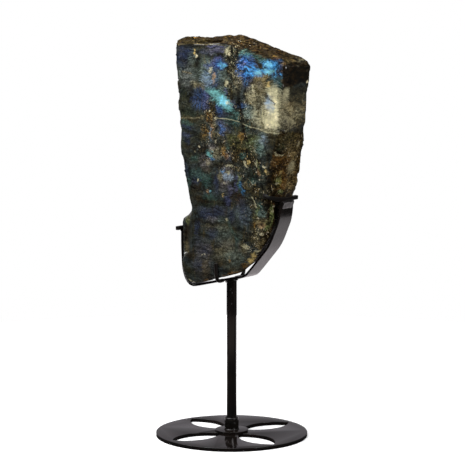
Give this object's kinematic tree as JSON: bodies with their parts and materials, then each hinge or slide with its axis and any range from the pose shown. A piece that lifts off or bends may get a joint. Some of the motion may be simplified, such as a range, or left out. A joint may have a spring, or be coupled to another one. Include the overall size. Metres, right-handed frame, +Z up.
{
  "type": "polished labradorite slab on stand",
  "caption": "Tall free-form labradorite slab, polished blue-flashing front and broken edges, held upright in a black steel strap cradle on a post with a round pierced base.",
  "frame": {"origin": "middle of the base plate's underside, on the post's axis", "axes": "+Z up along the post, -Y out of the slab's polished face, +X along the strap towards its higher claw"},
  "size_m": [0.2058, 0.2032, 0.5356],
  "materials": {
    "black_steel": "gloss black, slightly uneven",
    "labradorite": "polished front with blue and aqua flashes, broken brown-olive sides"
  },
  "bodies": {
    "root": {"base_plate": "black_steel", "hub_plate": "black_steel", "socket": "black_steel", "post": "black_steel", "cradle_strap": "black_steel", "left_claw_bar": "black_steel", "right_claw_bar": "black_steel", "front_prong": "black_steel", "rear_prong": "black_steel", "labradorite": "labradorite"}
  },
  "joints": []
}
